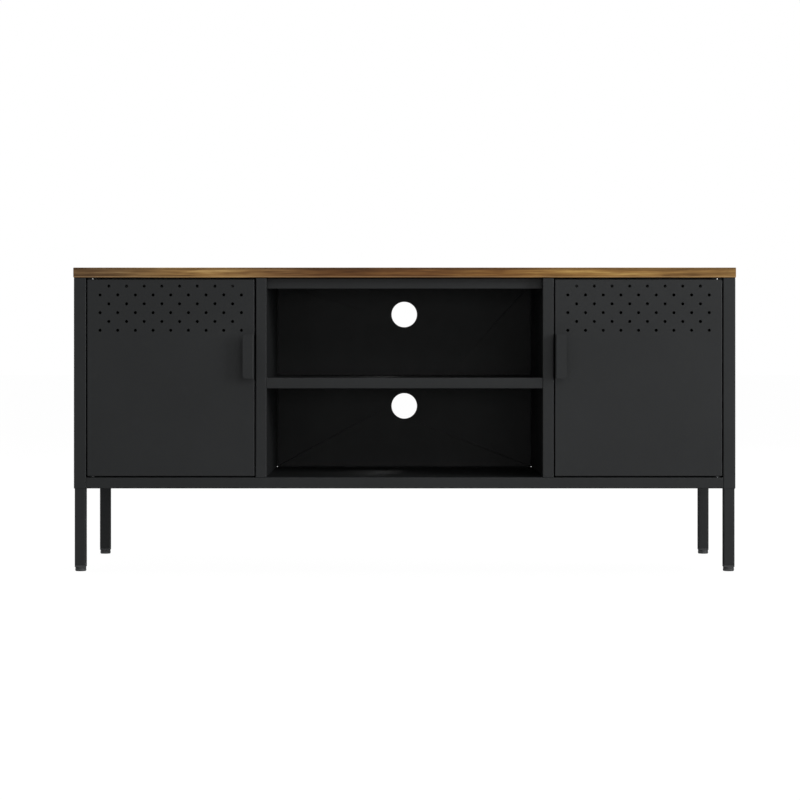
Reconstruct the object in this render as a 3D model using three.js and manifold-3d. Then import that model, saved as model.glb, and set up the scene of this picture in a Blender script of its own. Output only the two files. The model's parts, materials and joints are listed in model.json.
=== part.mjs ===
// A low media cabinet on four square legs: a folded sheet-steel body with a wood top, an open middle
// bay with one shelf, and a cupboard behind a perforated door at each side.
//
// Millimetres. +X is to the right of someone who faces the doors, +Y runs to the back, +Z is up.
// The origin is on the floor, at the centre of the box that holds the whole object, handles included.

import * as THREE from 'three';
import { mergeVertices } from 'three/addons/utils/BufferGeometryUtils.js';
import Module from 'manifold-3d';

const wasm = await Module();
wasm.setup();

// ---------------------------------------------------------------- driving dimensions

const TOP_WIDTH = 1200;
const TOP_DEPTH = 400;
const TOP_THICKNESS = 18;
const TOP_CHAMFER = 1;
const HEIGHT = 550;

const SHEET = 1;
const GAP = 0.3;
const LIP = 12;
const BODY_INSET = 1;
const BODY_UNDERSIDE = 150;
const POST_TOP_SEAM = 1.5;

const CORNER_POST = 22;
const BAY_HALF_WIDTH = 250;
const BAY_POST = 20;
const POST_LIP = 30;
const FLOOR_LEVEL = 170;
const TOP_RAIL_HEIGHT = 20;
const TOP_RAIL_RECESS = 20;

const SHELF_TOP = 350.4;
const SHELF_EDGE = 19.4;
const SIDE_SHELF_TOP = 340;
const SIDE_SHELF_EDGE = 18;
const SIDE_SHELF_FRONT_SETBACK = 20;

const BACK_FLANGE = 16;
const CABLE_HOLE_RADIUS = 25;
const CABLE_HOLE_LEVELS = [290, 470];
const CORNER_RELIEF = 1.5;

const DOOR_SIDE_GAP = 2;
const DOOR_BOTTOM_GAP = 2.2;
const DOOR_HEIGHT = 356.4;
const DOOR_FLANGE = 15;
const HINGE_INSET = 9;
const HINGE_SETBACK = 5;
const HINGE_PIN_RADIUS = 2;

const PERFORATION_RADIUS = 2.8;
const PERFORATION_PITCH = 32;
const PERFORATION_ROW_PITCH = 16;
const PERFORATION_ROWS = 6;
const PERFORATION_TOP_MARGIN = 12.2;
const PERFORATIONS_IN_ODD_ROW = 8;

const HANDLE_REACH = 20;
const HANDLE_SHEET = 1.5;
const HANDLE_WIDTH = 20;
const HANDLE_BOTTOM = 349;
const HANDLE_HEIGHT = 80;
const HANDLE_CORNER = 6;
const HANDLE_BEND = 2.5;

const LEG_WIDTH = 20;
const LEG_CORNER = 2;
const LEG_WALL = 1.2;
const LEG_BOTTOM = 10.8;
const LEG_CAP = 3;
const BOLT_RADIUS = 4;
const BOLT_HEAD_HEIGHT = 4.5;

const PLUG_RIM = 2.8;
const PLUG_TOP = 35;
const PAD_RADIUS = 10;
const PAD_HEIGHT = 7.4;
const PAD_SOCKET_FLOOR = 3;
const PAD_RECESS = 1.6;
const COLLAR_RADIUS = 6.5;
const STUD_TOP = 42;

// ---------------------------------------------------------------- places that follow from them

const TOP_FRONT = -(TOP_DEPTH + HANDLE_REACH) / 2 + HANDLE_REACH;
const TOP_BACK = TOP_FRONT + TOP_DEPTH;
const TOP_UNDERSIDE = HEIGHT - TOP_THICKNESS;
const FRONT = TOP_FRONT + BODY_INSET;
const BACK = TOP_BACK - BODY_INSET;
const SIDE = TOP_WIDTH / 2 - BODY_INSET;
const POST_TOP = TOP_UNDERSIDE - POST_TOP_SEAM;
const POST_INNER = SIDE - CORNER_POST;
const BAY_POST_OUTER = BAY_HALF_WIDTH + BAY_POST;

const CEILING_TOP = TOP_UNDERSIDE - GAP;
const CEILING_UNDERSIDE = CEILING_TOP - SHEET;
const RAIL_FRONT = FRONT + TOP_RAIL_RECESS;
const RAIL_BOTTOM = TOP_UNDERSIDE - TOP_RAIL_HEIGHT;

const BACK_FACE = BACK - SHEET - GAP - SHEET;
const BACK_BOTTOM = FLOOR_LEVEL + GAP;
const BACK_TOP = CEILING_UNDERSIDE - GAP;
const BEFORE_BACK = BACK_FACE - BACK_FLANGE - GAP;
const REAR_LIP_START = BEFORE_BACK - POST_LIP;

const DOOR_INNER = BAY_POST_OUTER + DOOR_SIDE_GAP;
const DOOR_OUTER = POST_INNER - DOOR_SIDE_GAP;
const DOOR_BOTTOM = FLOOR_LEVEL + DOOR_BOTTOM_GAP;
const DOOR_TOP = DOOR_BOTTOM + DOOR_HEIGHT;
const DOOR_BACK = FRONT + DOOR_FLANGE;
const HINGE_X = DOOR_OUTER - HINGE_INSET;
const HINGE_Y = FRONT + HINGE_SETBACK;
const PIN_HOLE_RADIUS = HINGE_PIN_RADIUS + GAP;

const LEG_TOP = FLOOR_LEVEL - SHEET - GAP;
const LEG_X = SIDE - SHEET - GAP - LEG_WIDTH / 2;
const LEG_FRONT_Y = FRONT + SHEET + GAP + LEG_WIDTH / 2;
const LEG_BACK_Y = BACK - SHEET - GAP - LEG_WIDTH / 2;
const LEG_ROWS = { front: LEG_FRONT_Y, back: LEG_BACK_Y };

const CLIP_RADIUS = 2.5;
const CLIP_ROWS = { front: FRONT + POST_LIP - 5, back: REAR_LIP_START + 15 };
const CLIP_LEVEL = SIDE_SHELF_TOP - SHEET - GAP - CLIP_RADIUS;
const CLIP_HOLE_PITCH = 32;
const CLIP_HOLE_STEPS = [-2, -1, 0, 1, 2];

const TOP_SCREW_X = 560;
const TOP_SCREW_ROWS = { front: -140, back: 170 };
const TOP_SCREW_RADIUS = 2;

// ---------------------------------------------------------------- solids

// A box between two values along each axis.
function box([x0, x1], [y0, y1], [z0, z1]) {
  const geometry = new THREE.BoxGeometry(x1 - x0, y1 - y0, z1 - z0);
  return geometry.translate((x0 + x1) / 2, (y0 + y1) / 2, (z0 + z1) / 2);
}

// A round bar that stands on z0 and reaches z1.
function bar(radius, [z0, z1], x, y, sides = 16) {
  const geometry = new THREE.CylinderGeometry(radius, radius, z1 - z0, sides).rotateX(Math.PI / 2);
  return geometry.translate(x, y, (z0 + z1) / 2);
}

// A round bar that lies along Y.
function barAlongY(radius, [y0, y1], x, z, sides) {
  const geometry = new THREE.CylinderGeometry(radius, radius, y1 - y0, sides);
  return geometry.translate(x, (y0 + y1) / 2, z);
}

// A round bar that lies along X.
function barAlongX(radius, [x0, x1], y, z, sides = 12) {
  const geometry = new THREE.CylinderGeometry(radius, radius, x1 - x0, sides).rotateZ(Math.PI / 2);
  return geometry.translate((x0 + x1) / 2, y, z);
}

// A turned piece about a vertical axis. The profile runs from bottom to top as [radius, height].
function turned(profile, x, y, sides = 24) {
  const points = profile.map(([radius, height]) => new THREE.Vector2(radius, height));
  const geometry = new THREE.LatheGeometry(points, sides).rotateX(Math.PI / 2);
  return geometry.translate(x, y, 0);
}

// A vertical bar whose section is a square with rounded corners.
function squareBar(width, corner, [z0, z1], x, y) {
  const half = width / 2;
  const shape = new THREE.Shape();
  shape.moveTo(half, half - corner);
  shape.absarc(half - corner, half - corner, corner, 0, Math.PI / 2);
  shape.absarc(corner - half, half - corner, corner, Math.PI / 2, Math.PI);
  shape.absarc(corner - half, corner - half, corner, Math.PI, Math.PI * 1.5);
  shape.absarc(half - corner, corner - half, corner, Math.PI * 1.5, Math.PI * 2);
  const geometry = new THREE.ExtrudeGeometry(shape, {
    depth: z1 - z0,
    bevelEnabled: false,
    curveSegments: 4,
  });
  return geometry.translate(x, y, z0);
}

// A closed three.js geometry as a manifold solid.
function solidOf(geometry) {
  const bare = geometry.clone();
  bare.deleteAttribute('normal');
  bare.deleteAttribute('uv');
  const merged = mergeVertices(bare);
  return new wasm.Manifold(new wasm.Mesh({
    numProp: 3,
    vertProperties: merged.getAttribute('position').array,
    triVerts: new Uint32Array(merged.index.array),
  }));
}

// One geometry that holds every added piece, with every cut piece taken away.
function build(added, cuts = []) {
  let solid = solidOf(added[0]);
  for (const piece of added.slice(1)) {
    solid = solid.add(solidOf(piece));
  }
  for (const piece of cuts) {
    solid = solid.subtract(solidOf(piece));
  }
  const mesh = solid.getMesh();
  const geometry = new THREE.BufferGeometry();
  geometry.setAttribute('position', new THREE.BufferAttribute(new Float32Array(mesh.vertProperties), 3));
  geometry.setIndex(new THREE.BufferAttribute(new Uint32Array(mesh.triVerts), 1));
  return geometry;
}

// The same piece on the other side of the cabinet, with its faces still pointing out.
function mirrored(geometry) {
  const copy = geometry.clone().scale(-1, 1, 1);
  const index = copy.index.array;
  for (let first = 0; first < index.length; first += 3) {
    const second = index[first + 1];
    index[first + 1] = index[first + 2];
    index[first + 2] = second;
  }
  return copy;
}

// ---------------------------------------------------------------- finishes and placing

const FINISHES = {
  paint: { color: 0x3a3f42, roughness: 0.62, metalness: 0.25 },
  wood: { color: 0x6b5237, roughness: 0.6, metalness: 0 },
  zinc: { color: 0xb9bcc0, roughness: 0.35, metalness: 0.9 },
  nylon: { color: 0x1b1b1c, roughness: 0.5, metalness: 0 },
  plug: { color: 0x2a2c2e, roughness: 0.45, metalness: 0 },
};

const cabinet = new THREE.Group();

function place(name, finish, geometry) {
  geometry.computeVertexNormals();
  const material = new THREE.MeshStandardMaterial({ ...FINISHES[finish], flatShading: true });
  const mesh = new THREE.Mesh(geometry, material);
  mesh.name = name;
  cabinet.add(mesh);
}

// A piece made for the right-hand side, and its mirror image on the left.
function placePair(name, finish, geometry) {
  place(name + '_left', finish, mirrored(geometry));
  place(name + '_right', finish, geometry);
}

// ---------------------------------------------------------------- wood top

function topScrewHoles(radius, heights) {
  const holes = [];
  for (const x of [-TOP_SCREW_X, TOP_SCREW_X]) {
    for (const y of Object.values(TOP_SCREW_ROWS)) {
      holes.push(bar(radius, heights, x, y, 10));
    }
  }
  return holes;
}

function woodTop() {
  const half = TOP_WIDTH / 2 - TOP_CHAMFER;
  const outline = new THREE.Shape();
  outline.moveTo(-half, TOP_FRONT + TOP_CHAMFER);
  outline.lineTo(half, TOP_FRONT + TOP_CHAMFER);
  outline.lineTo(half, TOP_BACK - TOP_CHAMFER);
  outline.lineTo(-half, TOP_BACK - TOP_CHAMFER);
  const slab = new THREE.ExtrudeGeometry(outline, {
    depth: TOP_THICKNESS - 2 * TOP_CHAMFER,
    bevelSize: TOP_CHAMFER,
    bevelThickness: TOP_CHAMFER,
    bevelSegments: 1,
  });
  slab.translate(0, 0, TOP_UNDERSIDE + TOP_CHAMFER);
  const pilotDepth = 13;
  const pilots = topScrewHoles(TOP_SCREW_RADIUS + GAP, [TOP_UNDERSIDE - 1, TOP_UNDERSIDE + pilotDepth]);
  return build([slab], pilots);
}

// ---------------------------------------------------------------- carcass

// The steel ceiling under the wood: a sheet that reaches over the side walls, with a recessed front rail
// that the doors close against, an ear over each door's hinge pin, and flanges at the back and the ends.
function topPanel() {
  const inside = SIDE - SHEET - GAP;
  const ceiling = [CEILING_UNDERSIDE, CEILING_TOP];
  const rail = [RAIL_BOTTOM, CEILING_TOP];
  const lip = [RAIL_BOTTOM, RAIL_BOTTOM + SHEET];
  const overWalls = SIDE - SHEET / 2;
  const bayEnd = BAY_HALF_WIDTH - GAP;
  const cupboard = [BAY_POST_OUTER + GAP, POST_INNER - GAP];
  const pieces = [
    box([-overWalls, overWalls], [RAIL_FRONT, BACK - SHEET - GAP], ceiling),
    box([-POST_INNER + GAP, POST_INNER - GAP], [BACK - 2, BACK], ceiling),
    box([-POST_INNER + GAP, POST_INNER - GAP], [BACK - SHEET, BACK], [CEILING_TOP - LIP, CEILING_TOP]),
    box([-bayEnd, bayEnd], [RAIL_FRONT, RAIL_FRONT + SHEET], rail),
    box([-bayEnd, bayEnd], [RAIL_FRONT, RAIL_FRONT + LIP], lip),
  ];
  const ear = [HINGE_X - 10, HINGE_X + 10];
  const cuts = topScrewHoles(TOP_SCREW_RADIUS + GAP, [CEILING_UNDERSIDE - 1, CEILING_TOP + 1]);
  for (const side of [-1, 1]) {
    const span = ([low, high]) => (side > 0 ? [low, high] : [-high, -low]);
    pieces.push(box(span(cupboard), [RAIL_FRONT, RAIL_FRONT + SHEET], rail));
    pieces.push(box(span(cupboard), [RAIL_FRONT, RAIL_FRONT + LIP], lip));
    pieces.push(box(span([inside - SHEET, inside]), [RAIL_FRONT + LIP, BEFORE_BACK - SHEET - GAP], rail));
    pieces.push(box(span(ear), [FRONT + SHEET + GAP, RAIL_FRONT + 1], ceiling));
    cuts.push(bar(PIN_HOLE_RADIUS, [CEILING_UNDERSIDE - 1, CEILING_TOP + 1], side * HINGE_X, HINGE_Y));
  }
  return build(pieces, cuts);
}

// The steel floor: a sheet folded down into a rail along the front and the back, with a lip under each.
function bottomPanel() {
  const inside = SIDE - SHEET - GAP;
  const railEnd = POST_INNER - GAP;
  const rail = [BODY_UNDERSIDE, FLOOR_LEVEL];
  const lip = [BODY_UNDERSIDE, BODY_UNDERSIDE + SHEET];
  const floor = [FLOOR_LEVEL - SHEET, FLOOR_LEVEL];
  const behindPosts = [FRONT + POST_LIP + GAP, BACK - SHEET - GAP];
  const pieces = [
    box([-railEnd, railEnd], [FRONT, BACK], floor),
    box([-inside, inside], behindPosts, floor),
    box([-railEnd, railEnd], [FRONT, FRONT + SHEET], rail),
    box([-railEnd, railEnd], [FRONT, FRONT + LIP], lip),
    box([-railEnd, railEnd], [BACK - SHEET, BACK], rail),
    box([-railEnd, railEnd], [BACK - LIP, BACK], lip),
  ];
  const cuts = [];
  for (const side of [-1, 1]) {
    const ends = side > 0 ? [inside - SHEET, inside] : [-inside, SHEET - inside];
    const corner = side > 0 ? [railEnd - SHEET, inside] : [-inside, SHEET - railEnd];
    pieces.push(box(ends, [LEG_FRONT_Y + LEG_WIDTH, LEG_BACK_Y - LEG_WIDTH], rail));
    pieces.push(box(corner, [FRONT + SHEET + GAP, FRONT + POST_LIP + 1], floor));
    cuts.push(bar(PIN_HOLE_RADIUS, [FLOOR_LEVEL - 2, FLOOR_LEVEL + 1], side * HINGE_X, HINGE_Y));
    for (const y of Object.values(LEG_ROWS)) {
      cuts.push(bar(BOLT_RADIUS + GAP, [FLOOR_LEVEL - 2, FLOOR_LEVEL + 1], side * LEG_X, y));
    }
  }
  return build(pieces, cuts);
}

// Holes for the shelf clips through a lip that lies across X.
function clipHoles([x0, x1]) {
  const holes = [];
  for (const y of Object.values(CLIP_ROWS)) {
    for (const step of CLIP_HOLE_STEPS) {
      const level = CLIP_LEVEL + step * CLIP_HOLE_PITCH;
      holes.push(barAlongX(CLIP_RADIUS + GAP, [x0 - 1, x1 + 1], y, level, 8));
    }
  }
  return holes;
}

// The right end of the cabinet: one wall with a front post, a rear flange and an inner post at the back.
function sidePanel() {
  const heights = [BODY_UNDERSIDE, POST_TOP];
  const lip = [POST_INNER, POST_INNER + SHEET];
  const lipHeights = [FLOOR_LEVEL + BOLT_HEAD_HEIGHT + 1.5, CEILING_UNDERSIDE - GAP];
  const rearPost = [POST_INNER, SIDE - SHEET / 2];
  const pieces = [
    box([SIDE - SHEET, SIDE], [FRONT, BACK], heights),
    box([POST_INNER, SIDE], [FRONT, FRONT + SHEET], heights),
    box([POST_INNER, SIDE], [BACK - SHEET, BACK], heights),
    box(lip, [FRONT, FRONT + POST_LIP], lipHeights),
    box(rearPost, [BEFORE_BACK - SHEET, BEFORE_BACK], lipHeights),
    box(lip, [REAR_LIP_START, BEFORE_BACK], lipHeights),
  ];
  return build(pieces, clipHoles(lip));
}

// The upright between the bay and the right cupboard: a channel that is open towards the cupboard.
function divider() {
  const lip = [BAY_POST_OUTER - SHEET, BAY_POST_OUTER];
  const depth = [FRONT, BACK_FACE + SHEET];
  const heights = [FLOOR_LEVEL + GAP, CEILING_UNDERSIDE - GAP];
  const foot = [BAY_HALF_WIDTH, BAY_POST_OUTER - SHEET - 1];
  const footDepth = [FRONT + POST_LIP, REAR_LIP_START];
  const pieces = [
    box([BAY_HALF_WIDTH, BAY_HALF_WIDTH + SHEET], depth, heights),
    box([BAY_HALF_WIDTH, BAY_POST_OUTER], [FRONT, FRONT + SHEET], [heights[0], POST_TOP]),
    box([BAY_HALF_WIDTH, BAY_POST_OUTER], [depth[1] - SHEET, depth[1]], heights),
    box(lip, [FRONT, FRONT + POST_LIP], heights),
    box(lip, [REAR_LIP_START, depth[1]], heights),
    box(foot, footDepth, [heights[0], heights[0] + SHEET]),
    box(foot, footDepth, [heights[1] - SHEET, heights[1]]),
  ];
  return build(pieces, clipHoles(lip));
}

// A back panel: a sheet with a flange folded forwards along each edge. The flanges stop short of the
// corners, which relieves the folds.
function backPanel([x0, x1], holes) {
  const rear = BACK_FACE + SHEET;
  const depth = [BACK_FACE - BACK_FLANGE, rear];
  const relieved = [BACK_BOTTOM + CORNER_RELIEF, BACK_TOP - CORNER_RELIEF];
  const flangeSpan = [x0 + CORNER_RELIEF, x1 - CORNER_RELIEF];
  const pieces = [
    box([x0, x1], [BACK_FACE, rear], [BACK_BOTTOM, BACK_TOP]),
    box([x0, x0 + SHEET], depth, relieved),
    box([x1 - SHEET, x1], depth, relieved),
    box(flangeSpan, depth, [BACK_BOTTOM, BACK_BOTTOM + SHEET]),
    box(flangeSpan, depth, [BACK_TOP - SHEET, BACK_TOP]),
  ];
  return build(pieces, holes);
}

function bayBack() {
  const span = BAY_HALF_WIDTH - GAP;
  const holes = CABLE_HOLE_LEVELS.map(
    (level) => barAlongY(CABLE_HOLE_RADIUS, [BACK_FACE - 1, BACK_FACE + SHEET + 1], 0, level, 64),
  );
  return backPanel([-span, span], holes);
}

// The cupboard's back, notched at the foot so that it clears the head of the leg's bolt.
function cupboardBack() {
  const notch = [LEG_X - LEG_WIDTH / 2, SIDE - 2 * SHEET - GAP - 0.5];
  const notchDepth = [BACK_FACE - BACK_FLANGE - 1, BACK_FACE - GAP];
  const clearing = box(notch, notchDepth, [BACK_BOTTOM - 1, BACK_BOTTOM + SHEET + 1]);
  return backPanel([BAY_POST_OUTER + GAP, SIDE - SHEET - GAP], [clearing]);
}

// ---------------------------------------------------------------- shelves

// The bay's fixed shelf: a tray turned upside down, screwed to the dividers through its end flanges.
function bayShelf() {
  const end = BAY_HALF_WIDTH - GAP;
  const narrowEnd = end - SHEET - GAP;
  const backEdge = BACK_FACE - GAP;
  const edge = [SHELF_TOP - SHELF_EDGE, SHELF_TOP];
  const sheet = [SHELF_TOP - SHEET, SHELF_TOP];
  const pieces = [
    box([-end, end], [FRONT, BEFORE_BACK], sheet),
    box([-narrowEnd, narrowEnd], [FRONT, backEdge], sheet),
    box([-end, end], [FRONT, FRONT + SHEET], edge),
    box([-end, end], [FRONT, FRONT + LIP], [edge[0], edge[0] + SHEET]),
    box([-narrowEnd, narrowEnd], [backEdge - SHEET, backEdge], edge),
    box([end - SHEET, end], [FRONT + LIP, BEFORE_BACK], edge),
    box([-end, SHEET - end], [FRONT + LIP, BEFORE_BACK], edge),
  ];
  return build(pieces);
}

// A cupboard's loose shelf: its plain ends rest on four clips.
function cupboardShelf() {
  const ends = [BAY_POST_OUTER + 1, POST_INNER - 1];
  const folded = [ends[0] + LIP, ends[1] - LIP];
  const depth = [FRONT + SIDE_SHELF_FRONT_SETBACK, BEFORE_BACK - SHEET - 1];
  const edge = [SIDE_SHELF_TOP - SIDE_SHELF_EDGE, SIDE_SHELF_TOP];
  const lip = [edge[0], edge[0] + SHEET];
  const pieces = [
    box(ends, depth, [SIDE_SHELF_TOP - SHEET, SIDE_SHELF_TOP]),
    box(folded, [depth[0], depth[0] + SHEET], edge),
    box(folded, [depth[0], depth[0] + LIP], lip),
    box(folded, [depth[1] - SHEET, depth[1]], edge),
    box(folded, [depth[1] - LIP, depth[1]], lip),
  ];
  return build(pieces);
}

// A shelf clip: a pin through the lip with a collar against its face. inward is the way to the shelf.
function shelfClip(lipFace, inward, y) {
  const along = (near, far) => [lipFace + inward * near, lipFace + inward * far].sort((a, b) => a - b);
  const pin = barAlongX(CLIP_RADIUS, along(-6, 9), y, CLIP_LEVEL);
  const collar = barAlongX(CLIP_RADIUS + 1, along(GAP, GAP + 0.6), y, CLIP_LEVEL);
  return build([pin, collar]);
}

// ---------------------------------------------------------------- doors

function perforations() {
  const centre = (DOOR_INNER + DOOR_OUTER) / 2;
  const holes = [];
  for (let row = 0; row < PERFORATION_ROWS; row += 1) {
    const count = PERFORATIONS_IN_ODD_ROW + (row % 2);
    const z = DOOR_TOP - PERFORATION_TOP_MARGIN - row * PERFORATION_ROW_PITCH;
    for (let place = 0; place < count; place += 1) {
      const x = centre + (place - (count - 1) / 2) * PERFORATION_PITCH;
      holes.push(barAlongY(PERFORATION_RADIUS, [FRONT - 1, FRONT + SHEET + 1], x, z, 8));
    }
  }
  return holes;
}

// The right door: a shallow steel tray, notched at its free edge for the handle.
function door() {
  const width = [DOOR_INNER, DOOR_OUTER];
  const depth = [FRONT, DOOR_BACK];
  const height = [DOOR_BOTTOM, DOOR_TOP];
  const pieces = [
    box(width, [FRONT, FRONT + SHEET], height),
    box([DOOR_INNER, DOOR_INNER + SHEET], depth, height),
    box([DOOR_OUTER - SHEET, DOOR_OUTER], depth, height),
    box(width, depth, [DOOR_BOTTOM, DOOR_BOTTOM + SHEET]),
    box(width, depth, [DOOR_TOP - SHEET, DOOR_TOP]),
  ];
  const handleNotch = box(
    [DOOR_INNER - 1, DOOR_INNER + HANDLE_SHEET + GAP],
    [FRONT - 1, DOOR_BACK + 1],
    [HANDLE_BOTTOM - GAP, HANDLE_BOTTOM + HANDLE_HEIGHT + GAP],
  );
  const pinHole = bar(PIN_HOLE_RADIUS, [DOOR_BOTTOM - 1, DOOR_TOP + 1], HINGE_X, HINGE_Y);
  return build(pieces, [...perforations(), handleNotch, pinHole]);
}

// The right door's handle: a strip bent twice, with its lip in front of the door and its foot behind it.
function handle() {
  const lipFront = TOP_FRONT - HANDLE_REACH;
  const footBack = FRONT + SHEET + GAP + HANDLE_SHEET;
  const free = DOOR_INNER + HANDLE_WIDTH;
  const inner = HANDLE_BEND - HANDLE_SHEET;
  const section = new THREE.Shape();
  section.moveTo(free, lipFront);
  section.lineTo(free, lipFront + HANDLE_SHEET);
  section.lineTo(DOOR_INNER + HANDLE_BEND, lipFront + HANDLE_SHEET);
  section.absarc(DOOR_INNER + HANDLE_BEND, lipFront + HANDLE_BEND, inner, -Math.PI / 2, Math.PI, true);
  section.lineTo(DOOR_INNER + HANDLE_SHEET, footBack - HANDLE_SHEET);
  section.lineTo(free - 2, footBack - HANDLE_SHEET);
  section.lineTo(free - 2, footBack);
  section.lineTo(DOOR_INNER, footBack);
  section.lineTo(DOOR_INNER, lipFront + HANDLE_BEND);
  section.absarc(DOOR_INNER + HANDLE_BEND, lipFront + HANDLE_BEND, HANDLE_BEND, Math.PI, Math.PI * 1.5);
  const strip = new THREE.ExtrudeGeometry(section, {
    depth: HANDLE_HEIGHT,
    bevelEnabled: false,
    curveSegments: 5,
  });
  strip.translate(0, 0, HANDLE_BOTTOM);
  const lipDepth = [lipFront - 1, lipFront + HANDLE_SHEET + 1];
  const corners = [HANDLE_BOTTOM, HANDLE_BOTTOM + HANDLE_HEIGHT].map((level) => {
    const inwards = level === HANDLE_BOTTOM ? 1 : -1;
    const centre = level + inwards * HANDLE_CORNER;
    const blockHeights = [level - inwards, centre].sort((a, b) => a - b);
    const block = box([free - HANDLE_CORNER, free + 1], lipDepth, blockHeights);
    const round = barAlongY(HANDLE_CORNER, [lipDepth[0] - 1, lipDepth[1] + 1], free - HANDLE_CORNER, centre, 32);
    return build([block], [round]);
  });
  return build([strip], corners);
}

// A hinge pin through the door's top flange into the ear above it.
function topHingePin() {
  const collar = HINGE_PIN_RADIUS + 1.5;
  const flange = DOOR_TOP - SHEET - GAP;
  return build([
    bar(HINGE_PIN_RADIUS, [flange - 12, CEILING_TOP - 0.2], HINGE_X, HINGE_Y, 20),
    bar(collar, [flange - 4, flange], HINGE_X, HINGE_Y, 20),
  ]);
}

// A hinge pin through the door's bottom flange into the floor.
function bottomHingePin() {
  const collar = HINGE_PIN_RADIUS + 1.5;
  const flange = DOOR_BOTTOM + SHEET + GAP;
  return build([
    bar(HINGE_PIN_RADIUS, [FLOOR_LEVEL - 9, flange + 12], HINGE_X, HINGE_Y, 20),
    bar(collar, [flange, flange + 4], HINGE_X, HINGE_Y, 20),
  ]);
}

// The washer that the door turns on.
function hingeWasher() {
  const heights = [FLOOR_LEVEL + GAP, DOOR_BOTTOM - GAP];
  const hole = bar(PIN_HOLE_RADIUS, [heights[0] - 1, heights[1] + 1], HINGE_X, HINGE_Y, 20);
  return build([bar(5, heights, HINGE_X, HINGE_Y, 20)], [hole]);
}

// The magnetic catch on the rail behind the door's free corner, with its two keeper plates in front.
function magneticCatch() {
  const ends = [DOOR_INNER + 18, DOOR_INNER + 60];
  const heights = [RAIL_BOTTOM + 1, RAIL_BOTTOM + 13];
  const keepers = FRONT + SHEET + 0.5;
  const pieces = [box(ends, [keepers + 2, RAIL_FRONT - GAP], heights)];
  for (const level of [heights[0] + 2, heights[1] - 4]) {
    pieces.push(box([ends[0] + 4, ends[1] - 4], [keepers, keepers + 4], [level, level + 2]));
  }
  return build(pieces);
}

// ---------------------------------------------------------------- legs and feet

function leg(x, y) {
  const capBottom = LEG_TOP - LEG_CAP;
  const bore = squareBar(LEG_WIDTH - 2 * LEG_WALL, LEG_CORNER / 2, [LEG_BOTTOM - 1, capBottom], x, y);
  const hole = bar(BOLT_RADIUS + GAP, [capBottom - 1, LEG_TOP + 1], x, y);
  return build([squareBar(LEG_WIDTH, LEG_CORNER, [LEG_BOTTOM, LEG_TOP], x, y)], [bore, hole]);
}

function legBolt(x, y) {
  const under = FLOOR_LEVEL + GAP;
  return build([turned([
    [0, LEG_TOP - 12],
    [BOLT_RADIUS, LEG_TOP - 12],
    [BOLT_RADIUS, under],
    [7, under],
    [7, under + BOLT_HEAD_HEIGHT - 2],
    [5, under + BOLT_HEAD_HEIGHT],
    [0, under + BOLT_HEAD_HEIGHT],
  ], x, y, 16)]);
}

// The plastic plug that closes the leg and holds the foot's thread.
function footPlug(x, y) {
  const rimTop = LEG_BOTTOM - GAP;
  const inside = LEG_WIDTH - 2 * LEG_WALL - 2 * GAP;
  const pieces = [
    squareBar(LEG_WIDTH, LEG_CORNER, [rimTop - PLUG_RIM, rimTop], x, y),
    squareBar(inside, LEG_CORNER / 2, [rimTop - 1, PLUG_TOP], x, y),
  ];
  return build(pieces, [bar(BOLT_RADIUS + GAP, [0, PLUG_TOP + 1], x, y)]);
}

// The pad that stands on the floor, with a socket for the stud's end and a recess for its collar.
function footPad(x, y) {
  const profile = [
    [0, 0],
    [PAD_RADIUS - 1.5, 0],
    [PAD_RADIUS - 0.4, 0.8],
    [PAD_RADIUS, 2],
    [PAD_RADIUS, PAD_HEIGHT - 0.5],
    [PAD_RADIUS - 0.5, PAD_HEIGHT],
    [0, PAD_HEIGHT],
  ];
  return build([turned(profile, x, y)], [
    bar(BOLT_RADIUS + GAP, [PAD_SOCKET_FLOOR, PAD_HEIGHT + 1], x, y),
    bar(COLLAR_RADIUS + 0.7, [PAD_HEIGHT - PAD_RECESS, PAD_HEIGHT + 1], x, y, 24),
  ]);
}

// The threaded stud, with the collar that a spanner turns.
function footStud(x, y) {
  return build([
    bar(BOLT_RADIUS, [PAD_SOCKET_FLOOR + GAP, STUD_TOP], x, y),
    bar(COLLAR_RADIUS, [PAD_HEIGHT - PAD_RECESS + GAP, PAD_HEIGHT], x, y, 6),
  ]);
}

function topScrew(x, y) {
  const headTop = CEILING_UNDERSIDE - GAP;
  return build([turned([
    [0, headTop - 2.4],
    [2.5, headTop - 2.4],
    [4, headTop - 1.4],
    [4, headTop],
    [TOP_SCREW_RADIUS, headTop],
    [TOP_SCREW_RADIUS, TOP_UNDERSIDE + 10],
    [0, TOP_UNDERSIDE + 12],
  ], x, y, 12)]);
}

// ---------------------------------------------------------------- the object

place('wood_top', 'wood', woodTop());
place('top_panel', 'paint', topPanel());
place('bottom_panel', 'paint', bottomPanel());
placePair('side_panel', 'paint', sidePanel());
placePair('divider', 'paint', divider());
place('back_panel_centre', 'paint', bayBack());
placePair('back_panel', 'paint', cupboardBack());
place('centre_shelf', 'paint', bayShelf());
placePair('cupboard_shelf', 'paint', cupboardShelf());

for (const [row, y] of Object.entries(CLIP_ROWS)) {
  placePair('shelf_clip_' + row + '_inner', 'nylon', shelfClip(BAY_POST_OUTER, 1, y));
  placePair('shelf_clip_' + row + '_outer', 'nylon', shelfClip(POST_INNER, -1, y));
}

placePair('door', 'paint', door());
placePair('door_handle', 'paint', handle());
placePair('hinge_pin_top', 'zinc', topHingePin());
placePair('hinge_pin_bottom', 'zinc', bottomHingePin());
placePair('hinge_washer', 'nylon', hingeWasher());
placePair('magnetic_catch', 'nylon', magneticCatch());

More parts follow.
